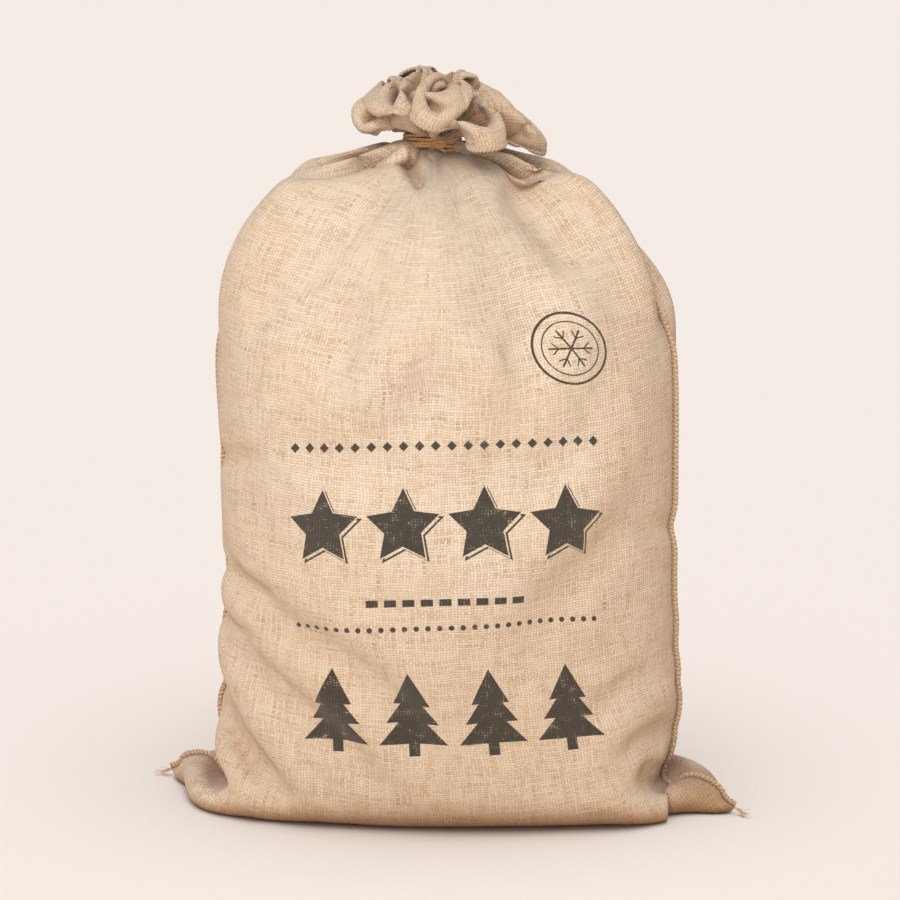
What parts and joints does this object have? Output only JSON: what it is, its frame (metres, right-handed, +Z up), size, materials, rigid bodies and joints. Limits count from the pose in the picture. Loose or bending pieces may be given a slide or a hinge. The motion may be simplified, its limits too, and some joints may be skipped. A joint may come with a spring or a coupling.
{
  "type": "gift sack",
  "caption": "Stuffed jute gift sack that stands upright, tied shut at the neck with twine, with a ruffled mouth and pinched bottom ears.",
  "frame": {"origin": "on the floor under the middle of the sack, which is the bottom centre of the bounding box", "axes": "+Z up, the printed front faces -Y, +X to the right as seen from the front"},
  "size_m": [0.51, 0.2356, 0.645],
  "materials": {
    "jute_cloth": "matte",
    "serged_edge": "matte",
    "seam_thread": "matte",
    "twine": "matte",
    "wadding": "matte"
  },
  "bodies": {
    "sack": {"front_panel": "jute_cloth", "back_panel": "jute_cloth", "padding_lower": "wadding", "padding_middle": "wadding", "padding_upper": "wadding", "left_side_seam": "serged_edge", "right_side_seam": "serged_edge", "bottom_seam": "serged_edge", "left_seam_thread": "seam_thread", "right_seam_thread": "seam_thread"},
    "neck": {"neck_gather_front": "jute_cloth", "neck_gather_back": "jute_cloth", "neck_twine": "twine"},
    "crown": {"mouth_ruffle_front": "jute_cloth", "mouth_ruffle_back": "jute_cloth", "mouth_hem": "serged_edge", "mouth_hem_thread": "seam_thread"},
    "left_ear": {"left_ear_front_ply": "jute_cloth", "left_ear_back_ply": "jute_cloth", "left_ear_seam": "serged_edge", "left_ear_thread_tail": "seam_thread"},
    "right_ear": {"right_ear_front_ply": "jute_cloth", "right_ear_back_ply": "jute_cloth", "right_ear_seam": "serged_edge", "right_ear_thread_tail": "seam_thread"}
  },
  "joints": [
    {"name": "neck_nod", "type": "hinge", "parent": "sack", "child": "neck", "pos_m": [-0.014, 0, 0.573], "axis": [1, 0, 0], "range_deg": [-12, 12]},
    {"name": "crown_sway", "type": "hinge", "parent": "neck", "child": "crown", "pos_m": [-0.014, 0, 0.592], "axis": [0, 1, 0], "range_deg": [-14, 4]},
    {"name": "left_ear_lift", "type": "hinge", "parent": "sack", "child": "left_ear", "pos_m": [-0.199, 0, 0.04], "axis": [0, 1, 0], "range_deg": [0, 60]},
    {"name": "right_ear_lift", "type": "hinge", "parent": "sack", "child": "right_ear", "pos_m": [0.199, 0, 0.04], "axis": [0, -1, 0], "range_deg": [0, 60]}
  ]
}
